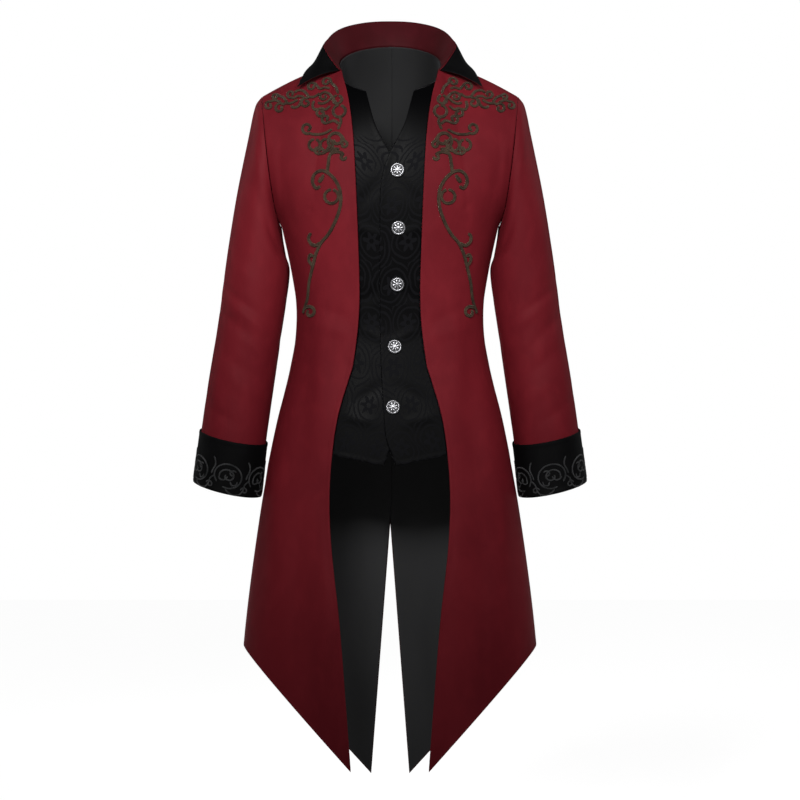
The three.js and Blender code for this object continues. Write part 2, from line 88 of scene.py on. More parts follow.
def smooth(table, key, column, at):
    """Smooth curve through a table's rows: a cubic in each span, whose slope at a row is the slope
    between that row's two neighbours."""
    keys, values = np.asarray(table[key], float), np.asarray(table[column], float)
    before = np.r_[0, np.arange(len(keys) - 1)]
    after = np.r_[np.arange(1, len(keys)), len(keys) - 1]
    slopes = (values[after] - values[before]) / (keys[after] - keys[before])
    at = np.asarray(at, float)
    i = np.clip(np.searchsorted(keys, at, side="right") - 1, 0, len(keys) - 2)
    span = keys[i + 1] - keys[i]
    s = np.clip((at - keys[i]) / span, 0, 1)
    ease = s * s * (3 - 2 * s)
    bend = s * (1 - s) * ((1 - s) * slopes[i] - s * slopes[i + 1]) * span
    return values[i] * (1 - ease) + values[i + 1] * ease + bend


def points(x, y, z):
    x, y, z = np.broadcast_arrays(x, y, z)
    return np.stack([x, y, z], axis=-1).astype(float)


def mix(a, b, share):
    return a + (b - a) * np.asarray(share)[..., None]


def section(face, share, z):
    """Horizontal section: a superellipse quarter from the middle (share 0) to the side seam (1)."""
    angle = np.clip(share, 0, 1) * math.pi / 2
    x = smooth(TORSO, "z", "half", z) * np.sin(angle) ** (2 / ROUNDNESS)
    y = smooth(TORSO, "z", face, z) * np.clip(np.cos(angle), 0, 1) ** (2 / ROUNDNESS)
    return points(x, -y if face == "front" else y, z)


def armhole(face, turn):
    """Half of the armhole: an ellipse from the underarm (turn 0) up to the shoulder point (1)."""
    share = (1 - np.cos(turn * math.pi)) / 2
    depth = ARMHOLE_DEPTH * np.sin(turn * math.pi) * (-1 if face == "front" else 1)
    return points(
        UNDERARM["x"] + (SHOULDER["x"] - UNDERARM["x"]) * share**0.6,
        depth + SHOULDER["y"] * share,
        UNDERARM["z"] + (SHOULDER["z"] - UNDERARM["z"]) * share,
    )


def neckline(face, turn):
    """A quarter ellipse in plan from the middle (turn 0) to the neck point (1), rising as it goes."""
    angle = np.asarray(turn) * math.pi / 2
    level = NECK["z"] + NECK[f"{face}_rise"] * np.cos(angle)
    return points(NECK["x"] * np.sin(angle), NECK[f"{face}_y"] * np.cos(angle), level)


def top_edge(face, share):
    """The neckline, then the shoulder seam: a straight line with a slight crown."""
    along = np.clip((share - NECK_SHARE) / (1 - NECK_SHARE), 0, 1)
    seam = points(
        NECK["x"] + (SHOULDER["x"] - NECK["x"]) * along,
        SHOULDER["y"] * along,
        NECK["z"] + (SHOULDER["z"] - NECK["z"]) * along + SHOULDER["crown"] * np.sin(along * math.pi),
    )
    neck = neckline(face, np.clip(share / NECK_SHARE, 0, 1))
    return np.where((share < NECK_SHARE)[..., None], neck, seam)


def bulge(curve, share):
    """How far a curve stands off the straight line between its ends."""
    ends = curve(np.array([0.0, 1.0]))
    return curve(share) - mix(ends[0], ends[1], share)


def form(face, share, height, hem):
    """Any point of the body's form. Height is 0 to 1 in the skirt, where rows turn from the hem's
    line to level; 1 to 2 at the waist; and 2 to 3 above it, where each row runs straight from the
    middle to the side edge, plus the chest's bulge, which hands over to the shoulder's on the way."""
    share, height = np.broadcast_arrays(np.asarray(share, float), np.asarray(height, float))
    side = np.sign(share) + (share == 0)
    share = np.abs(share)
    level = np.clip(height, 0, 1)
    z = np.full(share.shape, float(WAIST_Z))
    for _ in range(8):
        z = hem(section(face, share, z)[..., 0])
        z = z + (WAIST_Z - z) * level
    z = np.where(height > 1, WAIST_Z + (CHEST_BASE_Z - WAIST_Z) * np.clip(height - 1, 0, 1), z)
    lower = section(face, share, z)

    rise = np.clip(height - 2, 0, 1)
    middle = points(
        0,
        smooth(MIDLINE, "rise", f"{face}_y", rise),
        smooth(MIDLINE, "rise", f"{face}_z", rise),
    )
    seam_z = CHEST_BASE_Z + (UNDERARM["z"] - CHEST_BASE_Z) * np.clip(rise / UNDERARM_SHARE, 0, 1)
    seam = section(face, np.ones_like(rise), seam_z)
    arm = armhole(face, np.clip((rise - UNDERARM_SHARE) / (1 - UNDERARM_SHARE), 0, 1))
    edge = np.where((rise < UNDERARM_SHARE)[..., None], seam, arm)
    top = (rise**3 * (4 - 3 * rise))[..., None]
    upper = mix(middle, edge, share)
    upper += (1 - top) * bulge(lambda s: section(face, s, CHEST_BASE_Z), share)
    upper += top * bulge(lambda s: top_edge(face, s), share)
    where = np.where((height > 2)[..., None], upper, lower)
    where[..., 0] *= side
    return where


def edge_share(face, height, hem, edge):
    """The share at which rows of the form cross an edge line, found by halving."""
    low, high = np.full(np.shape(height), -0.4), np.ones(np.shape(height))
    for _ in range(40):
        middle = (low + high) / 2
        where = form(face, middle, height, hem)
        inside = where[..., 0] < edge(where[..., 2])
        low, high = np.where(inside, middle, low), np.where(inside, high, middle)
    return (low + high) / 2


def spread(count, near):
    """Steps from 0 to 1: even ones, with finer ones close to both ends for a turned edge."""
    fine = np.array([0, 0.12, 0.3, 0.6, 1.0, 1.7]) * near
    return np.r_[fine, np.linspace(fine[-1], 1 - fine[-1], count)[1:-1], (1 - fine)[::-1]]


def panel(face, hem, edge, rows, columns):
    """Grid of a panel on the wearer's left: rows from hem to shoulder, columns from edge to side. Its
    columns are then eased, each point moving towards the middle of its neighbours above and below,
    so that the chest runs into the waist without a line."""
    t = spread(rows, 0.003)
    height = np.interp(t, [0, 0.5, 0.62, 1], [0, 1, 2, 3])
    start = edge_share(face, height, hem, edge)
    c = spread(columns, 0.014)
    share = np.interp(c, [0, NECK_SHARE, 1], [0, NECK_SHARE, 1])
    low = c < NECK_SHARE
    fill = np.where(low, share / NECK_SHARE, 1)
    shares = start[:, None] + (NECK_SHARE - start[:, None]) * fill[None, :]
    shares = np.where(low[None, :], shares, share[None, :])
    grid = form(face, shares, height[:, None], hem)
    below_top = np.clip((EASED_TO - height) / (EASED_TO - EASED_FADE), 0, 1) * (height > EASED_FROM)
    hold = np.clip((1 - c) / SIDE_HOLD, 0, 1)[None, :, None] * below_top[1:-1, None, None]
    for _ in range(int(EASING_ROUNDS * (rows / 100) ** 2)):
        grid[1:-1] += hold * 0.25 * (grid[2:] - 2 * grid[1:-1] + grid[:-2])
    return grid


def on_cloth(grid, normals, x, z):
    """Places and normals on a grid that show at given x and z: those of the nearest grid point, moved
    along the cloth by the little that is left over."""
    def flat(values):
        return values.reshape(-1, 3)

    gap = (flat(grid)[None, :, 0] - x[:, None]) ** 2 + (flat(grid)[None, :, 2] - z[:, None]) ** 2
    near = gap.argmin(axis=1)
    at = flat(grid)[near]
    across, up = flat(np.gradient(grid, axis=1))[near], flat(np.gradient(grid, axis=0))[near]
    dx, dz = x - at[:, 0], z - at[:, 2]
    area = across[:, 0] * up[:, 2] - across[:, 2] * up[:, 0]
    c = ((dx * up[:, 2] - dz * up[:, 0]) / area)[:, None]
    r = ((across[:, 0] * dz - across[:, 2] * dx) / area)[:, None]
    turned_across, turned_up = (flat(np.gradient(normals, axis=axis))[near] for axis in (1, 0))
    normal = flat(normals)[near] + c * turned_across + r * turned_up
    return at + c * across + r * up, normal / np.linalg.norm(normal, axis=-1, keepdims=True)


def grid_normals(grid, closed=False):
    """Unit normals of a grid of points: the way across, crossed with the way up."""
    up = np.gradient(grid, axis=0)
    if closed:
        across = np.roll(grid, -1, axis=1) - np.roll(grid, 1, axis=1)
    else:
        across = np.gradient(grid, axis=1)
    normal = np.cross(across, up)
    return normal / np.maximum(np.linalg.norm(normal, axis=-1, keepdims=True), 1e-9)


def edge_distance(grid, closed=False):
    """Distance of each grid point from the panel's nearest edge, measured along its own row and
    column."""
    up = np.linalg.norm(np.diff(grid, axis=0), axis=-1)
    from_bottom = np.vstack([np.zeros(grid.shape[1]), np.cumsum(up, axis=0)])
    nearest = np.minimum(from_bottom, from_bottom[-1] - from_bottom)
    if not closed:
        across = np.linalg.norm(np.diff(grid, axis=1), axis=-1)
        start = np.zeros((grid.shape[0], 1))
        from_left = np.hstack([start, np.cumsum(across, axis=1)])
        nearest = np.minimum(nearest, np.minimum(from_left, from_left[:, -1:] - from_left))
    return nearest


def creased(grid, normals, creases):
    """Moves points along their normals by soft folds. Each fold runs from one (x, z) to another and
    is a bell curve across itself, which fades to nothing at both ends. Positive height is a ridge."""
    x, z = grid[..., 0], grid[..., 2]
    moved = np.zeros(x.shape)
    for x0, z0, x1, z1, width, height in creases:
        length = math.hypot(x1 - x0, z1 - z0)
        ax, az = (x1 - x0) / length, (z1 - z0) / length
        along = ((x - x0) * ax + (z - z0) * az) / length
        off = (x - x0) * -az + (z - z0) * ax
        fade = np.sin(np.clip(along, 0, 1) * math.pi) ** 0.8
        moved += height * np.exp(-((off / width) ** 2)) * fade
    return grid + normals * moved[..., None]


def shell(name, grid, thickness, outward, closed=False, inset=0.0, roll=0.0, flip=False):
    """Thin cloth of even thickness behind a grid of points. Its two skins close on each other in a
    half round at every edge, and roll makes a soft ridge just inside the edge."""
    if flip:
        grid = grid * [-1, 1, 1]
        outward = -outward
    normal = grid_normals(grid, closed) * outward
    distance = edge_distance(grid, closed)
    reach = np.clip(distance / (thickness * TURNED_ROUND), 0, 1)
    half = thickness / 2 * np.sqrt(1 - (1 - reach) ** 2)
    lift = roll * np.exp(-(((distance - ROLL_AT) / ROLL_SPREAD) ** 2))
    middle = grid - normal * (inset + thickness / 2)
    outer = middle + normal * (half + lift)[..., None]
    inner = middle - normal * half[..., None]
    rows, columns = grid.shape[:2]
    index = np.arange(rows * columns).reshape(rows, columns)
    edge = np.zeros((rows, columns), bool)
    edge[[0, -1]] = True
    if not closed:
        edge[:, [0, -1]] = True
    behind = np.where(edge, index, index + rows * columns)
    spans = columns if closed else columns - 1
    c0, c1 = np.arange(spans), (np.arange(spans) + 1) % columns

    def quads(at):
        below, above = at[:-1], at[1:]
        corners = [below[:, c0], below[:, c1], above[:, c1], above[:, c0]]
        return np.stack(corners, axis=-1).reshape(-1, 4)

    front, back = quads(index), quads(behind)[:, ::-1]
    if outward < 0:
        front, back = front[:, ::-1], back[:, ::-1]
    faces = np.vstack([front, back])
    vertices = np.vstack([outer.reshape(-1, 3), inner.reshape(-1, 3)])
    across = np.linalg.norm(np.diff(grid, axis=1), axis=-1)
    u = np.hstack([np.zeros((rows, 1)), np.cumsum(across, axis=1)])
    up = np.linalg.norm(np.diff(grid, axis=0), axis=-1)
    v = np.vstack([np.zeros(columns), np.cumsum(up, axis=0)])
    flat = np.stack([u, v], axis=-1).reshape(-1, 2)
    skins = np.repeat([0, 1], [len(front), len(back)])
    return make_mesh(name, vertices, faces, np.vstack([flat, flat]), skins)


def make_mesh(name, vertices, faces, flat=None, skins=None):
    """Makes an object from arrays of points in millimetres and of faces, with an optional flat
    position for each point, in millimetres, as its UV map, and a material number for each face."""
    used, faces = np.unique(faces, return_inverse=True)
    faces = faces.reshape(-1, 4)
    mesh = bpy.data.meshes.new(name)
    mesh.from_pydata((vertices[used] / 1000).tolist(), [], faces.tolist())
    if flat is not None:
        uv = mesh.uv_layers.new(name="flat")
        uv.data.foreach_set("uv", (flat[used][faces.ravel()] / 1000).ravel())
    if skins is not None:
        mesh.polygons.foreach_set("material_index", skins.astype(np.int32))
    mesh.polygons.foreach_set("use_smooth", np.ones(len(faces), bool))
    mesh.update()
    made = bpy.data.objects.new(name, mesh)
    bpy.context.scene.collection.objects.link(made)
    return made


def finish_piece(made, materials, nodes):
    for material in materials:
        made.data.materials.append(material)
    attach(made, "root")
    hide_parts(*nodes)


class Socket:
    """A shader value that can be used in sums: each operator adds one Math node."""

    def __init__(self, tree, link):
        self.tree = tree
        self.link = link

    def node(self, kind, inputs=(), output=0, **settings):
        """Adds a node of any kind, with its settings first and then the values of its inputs."""
        made = self.tree.nodes.new(kind)
        for key, value in settings.items():
            if key == "stops":
                ramp = made.color_ramp
                for number, (position, colour) in enumerate(value):
                    stop = ramp.elements[number] if number < 2 else ramp.elements.new(position)
                    stop.position, stop.color = position, colour
            else:
                setattr(made, key, value)
        for key, value in dict(inputs).items():
            if isinstance(value, Socket):
                self.tree.links.new(value.link, made.inputs[key])
            else:
                made.inputs[key].default_value = value
        return Socket(self.tree, made.outputs[output])

    def math(self, operation, *others):
        return self.node("ShaderNodeMath", enumerate((self, *others)), operation=operation)

    def __add__(self, other):
        return self.math("ADD", other)

    def __sub__(self, other):
        return self.math("SUBTRACT", other)

    def __rsub__(self, other):
        return self * -1.0 + other

    def __mul__(self, other):
        return self.math("MULTIPLY", other)

    __radd__ = __add__
    __rmul__ = __mul__

    def mix(self, low, high):
        """The colour from low to high, by this value."""
        return self.node("ShaderNodeMix", {0: self, 6: low, 7: high}, output=2, data_type="RGBA")

    def smooth_step(self, low, high):
        return self.node("ShaderNodeMapRange", {0: self, 1: low, 2: high}, interpolation_type="SMOOTHSTEP")


def new_material(name):
    """An empty principled material: its shader node, its object coordinates and its flat ones."""
    material = bpy.data.materials.new(name)
    material.use_nodes = True
    tree = material.node_tree
    shader = next(n for n in tree.nodes if n.type == "BSDF_PRINCIPLED")
    place = tree.nodes.new("ShaderNodeTexCoord")
    flat = tree.nodes.new("ShaderNodeUVMap")
    flat.uv_map = "flat"
    return material, shader, Socket(tree, place.outputs["Object"]), Socket(tree, flat.outputs["UV"])


def set_cloth(shader, colour, roughness, height, strength, distance, sheen, tint):
    """Links what varies over the cloth, and sets the sheen, which is the same all over."""
    colour.tree.links.new(colour.link, shader.inputs["Base Color"])
    colour.tree.links.new(roughness.link, shader.inputs["Roughness"])
    bump = height.node("ShaderNodeBump", {"Strength": strength, "Distance": distance, "Height": height})
    colour.tree.links.new(bump.link, shader.inputs["Normal"])
    shader.inputs["Sheen Weight"].default_value = sheen
    shader.inputs["Sheen Roughness"].default_value = 0.4
    shader.inputs["Sheen Tint"].default_value = tint
    shader.inputs["Specular IOR Level"].default_value = 0.05


def noise(place, scale, detail=3.0, stretch=(1, 1, 1)):
    where = place.node("ShaderNodeMapping", {"Vector": place, "Scale": stretch})
    return place.node("ShaderNodeTexNoise", {"Vector": where, "Scale": scale, "Detail": detail})


def velveteen(name, dark, light, sheen, tint):
    """Short cut pile: slow shading where the pile leans, a fine pile grain, and faint rubbed marks."""
    material, shader, place, _ = new_material(name)
    lean = noise(place, 9.0, 4.0, (1, 1, 0.45)).smooth_step(0.34, 0.68)
    pile = noise(place, 900.0, 2.0)
    rubbed = noise(place, 46.0, 5.0, (1, 1, 0.6)).smooth_step(0.42, 0.7)
    colour = (lean * 0.6 + rubbed * 0.25 + pile * 0.15).mix(dark, light)
    roughness = 0.62 - lean * 0.1 + pile * 0.08
    set_cloth(shader, colour, roughness, pile * 0.5 + rubbed * 0.5, 0.25, 0.0008, sheen, tint)
    return material


RED = velveteen(
    "coat_velveteen", (0.088, 0.0052, 0.0088, 1), (0.128, 0.0088, 0.0135, 1), 0.1, (0.6, 0.06, 0.08, 1)
)
# A darker copy of the red velveteen for the inner skin of every red piece: painted shade, standing in for the
# shade inside the coat and on the collar's inner face.
RED_PAINTED_SHADE = velveteen(
    "coat_velveteen_painted_shade", (0.03, 0.003, 0.004, 1), (0.055, 0.005, 0.008, 1), 0.05, (0.6, 0.2, 0.2, 1)
)

FRONT_CREASES = {
    "left": [
        (104, -350, 118, -560, 17, 3.0), (128, -420, 140, -720, 20, -3.2), (168, -500, 196, -900, 24, 3.6),
        (60, -430, 128, -395, 9, -1.5), (56, -452, 136, -432, 8, 1.3), (196, -640, 214, -930, 15, -2.6),
        (112, -700, 104, -1060, 16, 2.2), (150, -740, 150, -1010, 16, -2.4), (188, -150, 150, -290, 12, -2.2),
        (196, -110, 172, -250, 8, 1.8), (128, -228, 124, -246, 5, -1.0), (78, -150, 74, -330, 16, 1.4),
    ],
    "right": [
        (110, -340, 116, -590, 18, 3.2), (136, -440, 146, -690, 18, -2.8), (172, -520, 204, -880, 26, 3.4),
        (62, -420, 120, -398, 9, -1.4), (58, -446, 142, -424, 9, 1.5), (200, -660, 220, -920, 14, -2.4),
        (106, -720, 98, -1080, 15, 2.4), (146, -700, 156, -990, 18, -2.6), (190, -140, 156, -280, 11, -2.0),
        (198, -120, 176, -240, 9, 1.6), (132, -236, 126, -250, 5, -1.1), (82, -140, 78, -320, 18, 1.2),
    ],
}


def coat_hem(x):
    return SIDE_HEM_Z - HEM_SLOPE * (SIDE_HEM_X - x)


def front_edge(z):
    return smooth(FRONT_EDGE, "z", "x", z)


SIDES = {"left": 1, "right": -1}
front_grid = panel("front", coat_hem, front_edge, 250, 56)
front_normals = grid_normals(front_grid)
front_fade = np.clip(edge_distance(front_grid) / 18, 0, 1)[..., None]
front_cloth = {}
for side, sign in SIDES.items():
    moved = creased(front_grid, front_normals, FRONT_CREASES[side])
    grid = front_grid + (moved - front_grid) * front_fade
    front_cloth[side] = grid
    piece = shell(f"coat_front_{side}", grid, COAT_WALL, 1, roll=0.55, flip=sign < 0)
    finish_piece(piece, [RED, RED_PAINTED_SHADE], [f"front_{side}"])


# --- Coat backs and their lining ---------------------------------------------------------------
# The back is two panels of the same velveteen, joined down the centre. Below the seat the seam
# opens into a vent, which leaves two tails. A charcoal lining covers the inside.

VENT_TOP_Z = -760
VENT_SPREAD = 0.076
LINING_WALL = 1.0
LINING_LAP = 3.0
LINING_SETBACK = 1.2  # from the vent's edge
LAP_FADE = 40  # height above the vent in which the lap gives way to the setback
BACK_CREASES = {
    "left": [
        (60, -300, 70, -560, 22, -3.4), (110, -380, 128, -760, 24, 4.0), (30, -440, 120, -408, 10, -1.8),
        (26, -462, 130, -440, 9, 1.6), (150, -500, 178, -900, 20, -3.4), (190, -600, 216, -920, 20, 3.0),
        (46, -700, 52, -1080, 18, 2.8), (90, -760, 96, -1050, 16, -2.6), (180, -120, 120, -250, 14, -2.6),
        (192, -160, 140, -290, 9, 1.8),
    ],
    "right": [
        (56, -290, 64, -540, 20, -3.2), (104, -400, 124, -740, 26, 4.0), (32, -430, 112, -402, 10, -1.6),
        (28, -456, 126, -436, 9, 1.7), (146, -520, 172, -880, 22, -3.6), (186, -620, 220, -900, 18, 2.8),
        (50, -720, 48, -1090, 18, 3.0), (94, -740, 102, -1030, 18, -2.4), (184, -130, 126, -262, 13, -2.4),
        (190, -150, 144, -284, 9, 1.6),
    ],
}


def vent_edge(z):
    return VENT_SPREAD * np.maximum(VENT_TOP_Z - z, 0)


def lapped_edge(z):
    """The lining's own edge: it laps past the centre above the vent, and keeps off the vent's."""
    parted = np.clip((VENT_TOP_Z + LAP_FADE - z) / LAP_FADE, 0, 1)
    return vent_edge(z) - LINING_LAP + (LINING_LAP + LINING_SETBACK) * parted


def lining_cloth():
    """Charcoal satin: smooth, with a fine diagonal twill and soft slow shading."""
    material, shader, place, flat = new_material("lining_twill")
    slow = noise(place, 5.0, 3.0, (1, 1, 0.3)).smooth_step(0.35, 0.7)
    turned = flat.node("ShaderNodeMapping", {"Vector": flat, "Rotation": (0, 0, 0.8)})
    twill = flat.node("ShaderNodeTexWave", {"Vector": turned, "Scale": 420.0, "Distortion": 0.4})
    colour = (slow * 0.8 + twill * 0.2).mix((0.017, 0.017, 0.0175, 1), (0.036, 0.036, 0.037, 1))
    set_cloth(shader, colour, 0.5 - slow * 0.08, twill, 0.12, 0.0003, 0.06, (0.8, 0.8, 0.85, 1))
    return material


LINING = lining_cloth()
back_grid = panel("back", coat_hem, vent_edge, 250, 64)
back_normals = grid_normals(back_grid) * -1
back_fade = np.clip(edge_distance(back_grid) / 22, 0, 1)[..., None]
lining_grid = panel("back", coat_hem, lapped_edge, 120, 34)
lining_normals = grid_normals(lining_grid) * -1
for side, sign in SIDES.items():
    moved = creased(back_grid, back_normals, BACK_CREASES[side])
    grid = back_grid + (moved - back_grid) * back_fade
    piece = shell(f"coat_back_{side}", grid, COAT_WALL, -1, roll=0.35, flip=sign < 0)
    finish_piece(piece, [RED, RED_PAINTED_SHADE], [f"back_{side}"])
    depth = COAT_WALL + 0.4 if side == "left" else COAT_WALL + LINING_WALL + 0.8
    moved = creased(lining_grid, lining_normals, BACK_CREASES[side])[3:-3, :-3]
    lined = shell(f"back_lining_{side}", moved, LINING_WALL, -1, inset=depth, flip=sign < 0)
    finish_piece(lined, [LINING, LINING], [f"lining_{side}"])


# --- False waistcoat fronts --------------------------------------------------------------------
# Black damask sewn into the side and shoulder seams, the wearer's left lapped over the right, with
# a V neck edged by a band of plain velvet and a small cutaway at the bottom.

VEST_WALL = 1.2
VEST_INSET = 4.6
VEST_LAP = 0.8
DAMASK_WIDTH = 0.052  # of one repeat, in metres
DAMASK_HEIGHT = 0.066
NECK_BAND = (-0.132, -0.118)  # levels, in metres, between which the damask gives way to plain velvet
VEST_EDGE = {
    "z": [-662, -640, -615, -560, -450, -200, -165, -142, -122, -89, -56, -30],
    "x": [11, 3, -6, -11, -16, -16, -13, 1, 18, 28, 36, 43],
}
VEST_CREASES = [
    (10, -190, 60, -250, 9, -1.2), (6, -290, 62, -268, 8, 1.3), (4, -366, 58, -398, 9, -1.3),
    (0, -455, 50, -436, 8, 1.3), (2, -520, 66, -560, 10, -1.5), (20, -590, 80, -574, 9, 1.2),
]


def vest_hem(x):
    return -640 - 20 * np.clip(1 - x / 95, 0, 1) + 9 * np.clip((x - 95) / 95, 0, 1)


def damask():
    """Black on black: flowers of six petals with curled leaves between them, dull on a satin ground,
    in rows that shift by half a repeat, and a plain velvet band at the neck."""
    material, shader, place, flat = new_material("waistcoat_damask")
    across = flat.node("ShaderNodeSeparateXYZ", {0: flat})
    down = flat.node("ShaderNodeSeparateXYZ", {0: flat}, output=1)
    warp = noise(flat, 22.0, 2.0) * 0.012
    column = (across + warp) * (1 / DAMASK_WIDTH)
    row = (down + warp) * (1 / DAMASK_HEIGHT)
    shift = row.math("FLOOR").math("MODULO", 2.0) * 0.5
    x = (column + shift).math("FRACT") - 0.5
    y = row.math("FRACT") - 0.5
    radius = (x * x + y * y).math("SQRT")
    angle = y.math("ARCTAN2", x)
    petals = (angle * 6.0).math("COSINE") * 0.07 + 0.2
    flower = (petals - radius).smooth_step(-0.012, 0.012)
    heart = (0.07 - radius).smooth_step(-0.01, 0.01)
    vine = (radius * 44.0 + angle * 2.0).math("SINE").smooth_step(0.25, 0.6)
    outside = (radius - 0.29).smooth_step(0.0, 0.02)
    figure = (flower - heart).math("MAXIMUM", vine * outside * 0.8)
    height = place.node("ShaderNodeSeparateXYZ", {0: place}, output=2)
    figure = figure * (1 - height.smooth_step(*NECK_BAND))
    grain = noise(place, 1200.0, 2.0)
    colour = figure.mix((0.0006, 0.0006, 0.0008, 1), (0.0034, 0.0034, 0.0042, 1))
    set_cloth(shader, colour, 0.42 + figure * 0.28 + grain * 0.1, figure * 0.8 + grain * 0.2, 0.2, 0.0005,
              0.02, (0.7, 0.7, 0.75, 1))
    return material


DAMASK = damask()
vest_base = panel("front", vest_hem, lambda z: smooth(VEST_EDGE, "z", "x", z), 170, 60)
vest_normals = grid_normals(vest_base)
vest_fade = np.clip(edge_distance(vest_base) / 14, 0, 1)[..., None]
for side, sign in SIDES.items():
    moved = creased(vest_base, vest_normals, VEST_CREASES)
    grid = (vest_base + (moved - vest_base) * vest_fade)[:-8, :-5]
    depth = VEST_INSET if side == "left" else VEST_INSET + VEST_WALL + VEST_LAP
    piece = shell(f"waistcoat_{side}", grid, VEST_WALL, 1, inset=depth, roll=0.4, flip=sign < 0)
    finish_piece(piece, [DAMASK, LINING], [f"vest_{side}"])


# --- Sleeves -----------------------------------------------------------------------------------
# One-piece tubes of the velveteen, set into the armholes and run on inside the cuffs. They hang
# nearly straight, with soft drag folds at the elbow and under the sleeve head.

SLEEVE = {
    "station": [0.0, 0.1, 0.3, 0.6, 1.0, 1.5, 2.0, 2.4, 2.85],
    "outer_x": [211.7, 222, 233, 253, 270, 283.5, 300, 311, 322],
    "outer_z": [-50.7, -66, -116, -215, -323, -424, -524, -600, -684],
    "inner_x": [178.8, 177.9, 176.2, 171.6, 165.5, 179.5, 194, 204.5, 214.5],
    "inner_z": [-264.6, -272, -287, -313, -345, -446, -546, -621, -708],
    "depth": [62, 63, 63.5, 62, 59, 56, 53, 51, 50.5],
}
SLEEVE_FOLDS = [  # station, turn in degrees, length in stations, length in degrees, height
    (1.30, 70, 0.05, 44, -2.6), (1.40, 96, 0.05, 50, 2.4), (1.52, 60, 0.06, 46, -2.8),
    (1.62, 110, 0.05, 40, 2.0), (1.78, 76, 0.06, 44, -1.8), (2.02, 100, 0.07, 50, 1.6),
    (2.20, 64, 0.06, 46, -1.8), (0.55, 120, 0.10, 26, -2.2), (0.85, 132, 0.09, 24, 1.8),
    (0.22, 60, 0.10, 24, 1.4), (0.80, 40, 0.35, 14, 1.8), (1.35, 250, 0.06, 46, -2.6),
    (1.50, 285, 0.06, 44, 2.4), (1.70, 240, 0.06, 48, -2.2), (2.10, 270, 0.07, 50, 1.8),
    (0.60, 235, 0.10, 26, -2.2), (1.10, 66, 0.08, 40, 1.4), (1.90, 40, 0.30, 12, 1.5),
]


def sleeve(station, turn, swell, dip):
    """A ring is an ellipse between the sleeve's outermost and innermost points. Near the armhole it
    leans out of its plane to follow the armhole's curve, and a cuff's rims dip in front."""
    station, turn = np.broadcast_arrays(station, turn)
    def at(column):
        return smooth(SLEEVE, "station", column, station)

    outer = points(at("outer_x"), 0, at("outer_z"))
    inner = points(at("inner_x"), 0, at("inner_z"))
    half = (outer - inner) / 2
    half *= 1 + swell / np.linalg.norm(half, axis=-1, keepdims=True)
    ring = (outer + inner) / 2 + half * np.cos(turn)[..., None]
    depth = at("depth") + swell
    head = np.clip(1 - station, 0, 1) ** 2
    share = (1 + np.cos(turn)) / 2
    ring[..., 0] += (SHOULDER["x"] - UNDERARM["x"]) * (share**0.6 - share) * head
    ring[..., 1] = -depth * np.sin(turn) + SHOULDER["y"] * share * head
    ring[..., 2] -= dip * np.sin(turn)
    return ring


head_rows, wrist_rows = [0, 0.001, 0.0025, 0.005, 0.01, 0.02], [2.83, 2.84, 2.845, 2.85]
stations = np.r_[head_rows, np.linspace(0.04, 2.8, 190), wrist_rows]
turns = np.linspace(0, 2 * math.pi, 120, endpoint=False)
sleeve_grid = sleeve(stations[:, None], turns[None, :], 0, 0)
sleeve_normals = grid_normals(sleeve_grid, closed=True)
for side, sign in SIDES.items():
    moved = np.zeros(sleeve_grid.shape[:2])
    for number, (station, degrees, run, sweep, height) in enumerate(SLEEVE_FOLDS):
        drift = 0.0 if sign > 0 else 0.05 * math.sin(number * 2.3)
        turned = np.degrees(turns)[None, :] - degrees - 80 * drift
        slant = (stations[:, None] - station - drift) - 0.0022 * turned
        moved += height * np.exp(-((slant / run) ** 2) - (turned / sweep) ** 2)
    keep = np.clip(stations / 0.25, 0, 1) * np.clip((2.36 - stations) / 0.12, 0, 1)
    grid = sleeve_grid + sleeve_normals * (moved * keep[:, None])[..., None]
    piece = shell(f"coat_sleeve_{side}", grid, COAT_WALL, 1, closed=True, flip=sign < 0)
    finish_piece(piece, [RED, RED_PAINTED_SHADE], [f"sleeve_{side}"])


# --- Cuffs -------------------------------------------------------------------------------------
# Black velvet cuffs turned back over the sleeve ends. Below a plain edge each has a band of grey
# couched cord: open rings with a leafy sprig in them, joined by running scrolls.

CUFF_SWELL = 2.9
CUFF_DIP = 9
CUFF_HEIGHT = 92.0
CUFF_TOP, CUFF_BOTTOM = 2.4, 2.87  # as stations of the sleeve
CUFF_REPEATS = 6
REPEAT_WIDTH = 52.0
CORD_WIDTH = 2.4


def black_velvet():
    """Black pile with a slow lean to it and a fine grain: the cuffs' own colour, and painted shade where it
    faces the collar wings.
    """
    dark, light = (0.0008, 0.0008, 0.0009, 1), (0.003, 0.003, 0.0033, 1)
    return velveteen("black_velvet", dark, light, 0.015, (0.6, 0.65, 0.7, 1))


def grey_cord():
    """Dull grey viscose cord, its strands twisted across its length."""
    material, shader, place, flat = new_material("grey_cord")
    strands = flat.node("ShaderNodeTexWave", {"Vector": flat, "Scale": 500.0, "Distortion": 0.6})
    worn = noise(place, 60.0, 3.0).smooth_step(0.3, 0.75)
    colour = (worn * 0.7 + strands * 0.3).mix((0.012, 0.0125, 0.013, 1), (0.05, 0.05, 0.052, 1))
    set_cloth(shader, colour, 0.55 + strands * 0.1, strands, 0.5, 0.0004, 0.1, (0.8, 0.8, 0.8, 1))
    return material


def curl(x, z, outer, inner, start, turn):
    """A spiral about (x, z) from the outer radius to the inner one. Angles are in degrees, counted
    anticlockwise, and a negative turn winds clockwise."""
    count = max(8, int(abs(turn) / 24))
    s = np.linspace(0, 1, count)
    angle = np.radians(start + turn * s)
    radius = outer + (inner - outer) * s
    return np.stack([x + radius * np.cos(angle), z + radius * np.sin(angle)], axis=-1).tolist()


